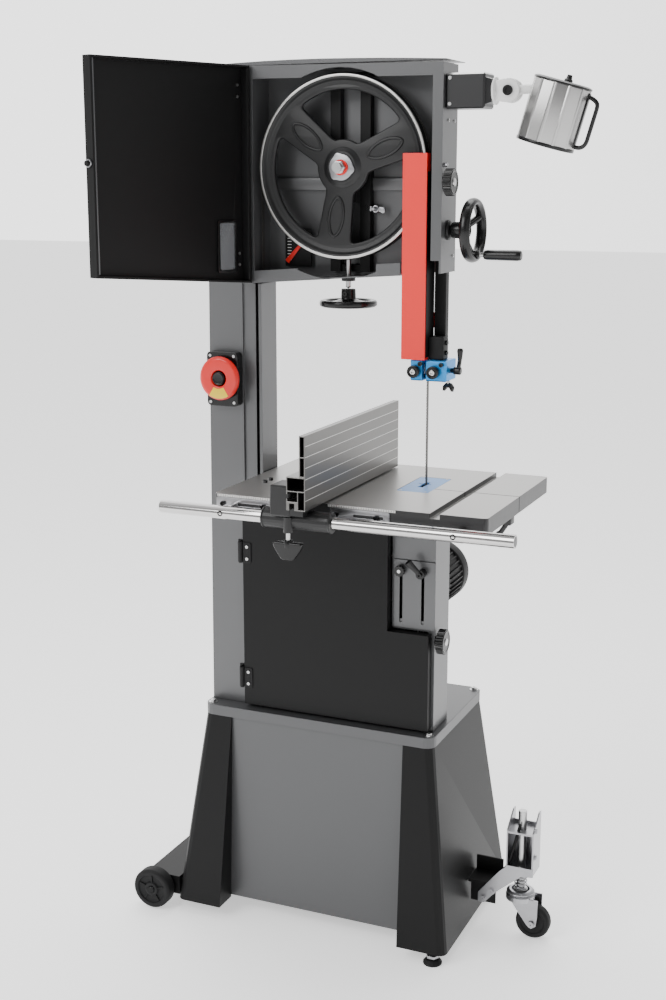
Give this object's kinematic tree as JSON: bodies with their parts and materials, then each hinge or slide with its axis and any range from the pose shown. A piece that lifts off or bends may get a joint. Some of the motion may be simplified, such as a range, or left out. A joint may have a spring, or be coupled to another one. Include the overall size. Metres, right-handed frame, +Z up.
{
  "type": "band saw",
  "caption": "Upright two-wheel band saw with open upper door, tilting table, rip fence on a round front rail, flared stand, work lamp and lifting caster.",
  "frame": {"origin": "middle of the saw's overall plan, on the floor under the feet", "axes": "+Z up, -Y towards the operator and the blade's teeth, +X away from the column"},
  "size_m": [0.9499, 0.762, 1.812],
  "materials": {
    "grey_paint": "metallic grey powder coat",
    "black_paint": "satin black paint",
    "black_plastic": "gloss black moulding",
    "black_casting": "black painted casting",
    "ground_iron": "ground top",
    "bright_steel": "ground",
    "chrome": "polished",
    "brushed_aluminium": "brushed anodised",
    "zinc_plate": "bright zinc plate",
    "red_paint": "gloss red paint",
    "red_plastic": "red moulding",
    "blue_anodised": "blue anodised",
    "blue_insert": "light blue moulding",
    "rubber": "moulded rubber",
    "white_plastic": "white moulding"
  },
  "bodies": {
    "frame": {"blade": "bright_steel", "case_top_cover": "grey_paint", "caster_channel": "zinc_plate", "column": "grey_paint", "drive_belt": "rubber", "foot_left_front": "rubber", "foot_left_rear": "rubber", "foot_right_front": "rubber", "foot_right_rear": "rubber", "lamp_arm": "black_paint", "lower_case": "grey_paint", "lower_guide": "blue_anodised", "motor": "black_paint", "pedal_step": "black_paint", "shaft_housing": "black_casting", "side_wheel_bracket": "black_paint", "stand_front_panel": "grey_paint", "stand_left_side": "black_paint", "stand_rear_panel": "grey_paint", "stand_right_side": "black_paint", "stand_top_plate": "grey_paint", "switch_box": "black_plastic", "tension_bracket": "black_paint", "trunnion_cradle": "black_casting", "upper_case": "grey_paint"},
    "upper_door": {"upper_door": "black_paint"},
    "lower_door": {"lower_door": "black_paint"},
    "upper_latch_knob": {"upper_latch_knob": "black_plastic"},
    "lower_latch_knob": {"lower_latch_knob": "black_plastic"},
    "wheel_carriage": {"wheel_carriage": "black_casting"},
    "upper_axle": {"upper_axle": "bright_steel"},
    "upper_wheel": {"upper_wheel": "black_casting"},
    "tension_handwheel": {"tension_handwheel": "black_plastic"},
    "lower_wheel": {"lower_wheel": "black_casting"},
    "motor_pulley": {"motor_pulley": "black_casting"},
    "guide_post": {"guide_post": "black_paint", "blade_guard": "red_paint", "guide_block": "blue_anodised"},
    "guide_roller_left": {"guide_roller_left": "bright_steel"},
    "guide_roller_right": {"guide_roller_right": "bright_steel"},
    "guide_lever": {"guide_lever": "black_plastic"},
    "guide_handwheel": {"guide_handwheel": "black_plastic"},
    "crank_handle": {"crank_handle": "black_plastic"},
    "table": {"table": "ground_iron", "table_insert": "blue_insert", "front_rail": "chrome"},
    "fence": {"fence_profile": "brushed_aluminium", "fence_carrier": "black_casting"},
    "fence_knob": {"fence_knob": "black_plastic"},
    "blade_cover": {"blade_cover": "grey_paint"},
    "cover_lever": {"cover_lever": "black_plastic"},
    "stop_disc": {"stop_disc": "red_plastic"},
    "start_button": {"start_button": "black_plastic"},
    "lamp_fork": {"lamp_fork": "white_plastic"},
    "lamp_head": {"lamp_head": "brushed_aluminium"},
    "side_wheel_front": {"side_wheel_front": "rubber"},
    "side_wheel_rear": {"side_wheel_rear": "rubber"},
    "caster_stem": {"caster_stem": "bright_steel"},
    "caster_fork": {"caster_fork": "zinc_plate"},
    "caster_wheel": {"caster_wheel": "rubber"}
  },
  "joints": [
    {"name": "upper_door_hinge", "type": "hinge", "parent": "frame", "child": "upper_door", "pos_m": [-0.215, 0.014, 0], "axis": [0, 0, 1], "range_deg": [0, 107]},
    {"name": "lower_door_hinge", "type": "hinge", "parent": "frame", "child": "lower_door", "pos_m": [-0.237, -0.003, 0], "axis": [0, 0, 1], "range_deg": [-110, 0]},
    {"name": "upper_latch_turn", "type": "hinge", "parent": "frame", "child": "upper_latch_knob", "pos_m": [0.1893, 0.026, 1.58], "axis": [1, 0, 0], "range_deg": [0, 90]},
    {"name": "lower_latch_turn", "type": "hinge", "parent": "frame", "child": "lower_latch_knob", "pos_m": [0.1893, 0.026, 0.672], "axis": [1, 0, 0], "range_deg": [0, 90]},
    {"name": "tension_screw", "type": "hinge", "parent": "frame", "child": "tension_handwheel", "pos_m": [-0.026, 0.077, 1.341], "axis": [0, 0, 1], "range_deg": [-1801, 1]},
    {"name": "tension_slide", "type": "slide", "parent": "frame", "child": "wheel_carriage", "axis": [0, 0, 1], "range_m": [-0.01, 0]},
    {"name": "tracking_tilt", "type": "hinge", "parent": "wheel_carriage", "child": "upper_axle", "pos_m": [-0.024, 0.075, 1.608], "axis": [1, 0, 0], "range_deg": [-0.6, 0.6]},
    {"name": "upper_wheel_spin", "type": "hinge", "parent": "upper_axle", "child": "upper_wheel", "pos_m": [-0.024, 0.045, 1.608], "axis": [0, 1, 0], "continuous": true},
    {"name": "lower_wheel_spin", "type": "hinge", "parent": "frame", "child": "lower_wheel", "pos_m": [-0.024, 0.045, 0.706], "axis": [0, 1, 0], "continuous": true},
    {"name": "motor_pulley_spin", "type": "hinge", "parent": "frame", "child": "motor_pulley", "pos_m": [0.114, 0.079, 0.757], "axis": [0, 1, 0], "continuous": true},
    {"name": "guide_handwheel_turn", "type": "hinge", "parent": "frame", "child": "guide_handwheel", "pos_m": [0.189, 0.0607, 1.49], "axis": [1, 0, 0], "range_deg": [-861, 574]},
    {"name": "crank_handle_spin", "type": "hinge", "parent": "guide_handwheel", "child": "crank_handle", "pos_m": [0.2583, 0.0607, 1.444], "axis": [1, 0, 0], "continuous": true},
    {"name": "guide_post_drop", "type": "slide", "parent": "frame", "child": "guide_post", "axis": [0, 0, -1], "range_m": [-0.1, 0.15]},
    {"name": "left_roller_spin", "type": "hinge", "parent": "guide_post", "child": "guide_roller_left", "pos_m": [0.1412, 0.0455, 1.219], "axis": [0, 1, 0], "continuous": true},
    {"name": "right_roller_spin", "type": "hinge", "parent": "guide_post", "child": "guide_roller_right", "pos_m": [0.1668, 0.0455, 1.219], "axis": [0, 1, 0], "continuous": true},
    {"name": "guide_lever_turn", "type": "hinge", "parent": "guide_post", "child": "guide_lever", "pos_m": [0.2003, 0.059, 1.219], "axis": [1, 0, 0], "range_deg": [0, 90]},
    {"name": "table_tilt", "type": "hinge", "parent": "frame", "child": "table", "pos_m": [0.154, 0.045, 0.99], "axis": [0, 1, 0], "range_deg": [-5, 37]},
    {"name": "fence_slide", "type": "slide", "parent": "table", "child": "fence", "axis": [-1, 0, 0], "range_m": [-0.105, 0.19]},
    {"name": "fence_knob_turn", "type": "hinge", "parent": "fence", "child": "fence_knob", "pos_m": [-0.006, -0.257, 0.951], "axis": [0, 0, 1], "range_deg": [0, 180]},
    {"name": "cover_slide", "type": "slide", "parent": "frame", "child": "blade_cover", "axis": [0, 0, 1], "range_m": [0, 0.065]},
    {"name": "cover_lever_turn", "type": "hinge", "parent": "frame", "child": "cover_lever", "pos_m": [0.163, 0.02, 0.814], "axis": [0, 1, 0], "range_deg": [-90, 0]},
    {"name": "stop_push", "type": "slide", "parent": "frame", "child": "stop_disc", "axis": [0, 1, 0], "range_m": [0, 0.005], "stiffness_N_per_m": 800},
    {"name": "start_push", "type": "slide", "parent": "frame", "child": "start_button", "axis": [0, 1, 0], "range_m": [0, 0.0025], "stiffness_N_per_m": 500},
    {"name": "lamp_swivel", "type": "hinge", "parent": "frame", "child": "lamp_fork", "pos_m": [0.2763, 0.06, 1.746], "axis": [1, 0, 0], "range_deg": [-90, 90]},
    {"name": "lamp_tilt", "type": "hinge", "parent": "lamp_fork", "child": "lamp_head", "pos_m": [0.306, 0.06, 1.746], "axis": [0, 1, 0], "range_deg": [-60, 30]},
    {"name": "front_side_wheel_spin", "type": "hinge", "parent": "frame", "child": "side_wheel_front", "pos_m": [-0.43, -0.07, 0.0465], "axis": [0, 1, 0], "continuous": true},
    {"name": "rear_side_wheel_spin", "type": "hinge", "parent": "frame", "child": "side_wheel_rear", "pos_m": [-0.43, 0.364, 0.0465], "axis": [0, 1, 0], "continuous": true},
    {"name": "caster_lift", "type": "slide", "parent": "frame", "child": "caster_stem", "axis": [0, 0, 1], "range_m": [0, 0.02]},
    {"name": "caster_swivel", "type": "hinge", "parent": "caster_stem", "child": "caster_fork", "pos_m": [0.352, 0.135, 0.092], "axis": [0, 0, 1], "continuous": true},
    {"name": "caster_wheel_spin", "type": "hinge", "parent": "caster_fork", "child": "caster_wheel", "pos_m": [0.382, 0.135, 0.039], "axis": [0, 1, 0], "continuous": true}
  ],
  "couplings": [
    {"joint": "tension_screw", "follows": "tension_slide", "rad_per_m": 3141.6},
    {"joint": "upper_wheel_spin", "follows": "lower_wheel_spin", "ratio": 1},
    {"joint": "motor_pulley_spin", "follows": "lower_wheel_spin", "ratio": 2.6667},
    {"joint": "guide_handwheel_turn", "follows": "guide_post_drop", "rad_per_m": -100}
  ]
}
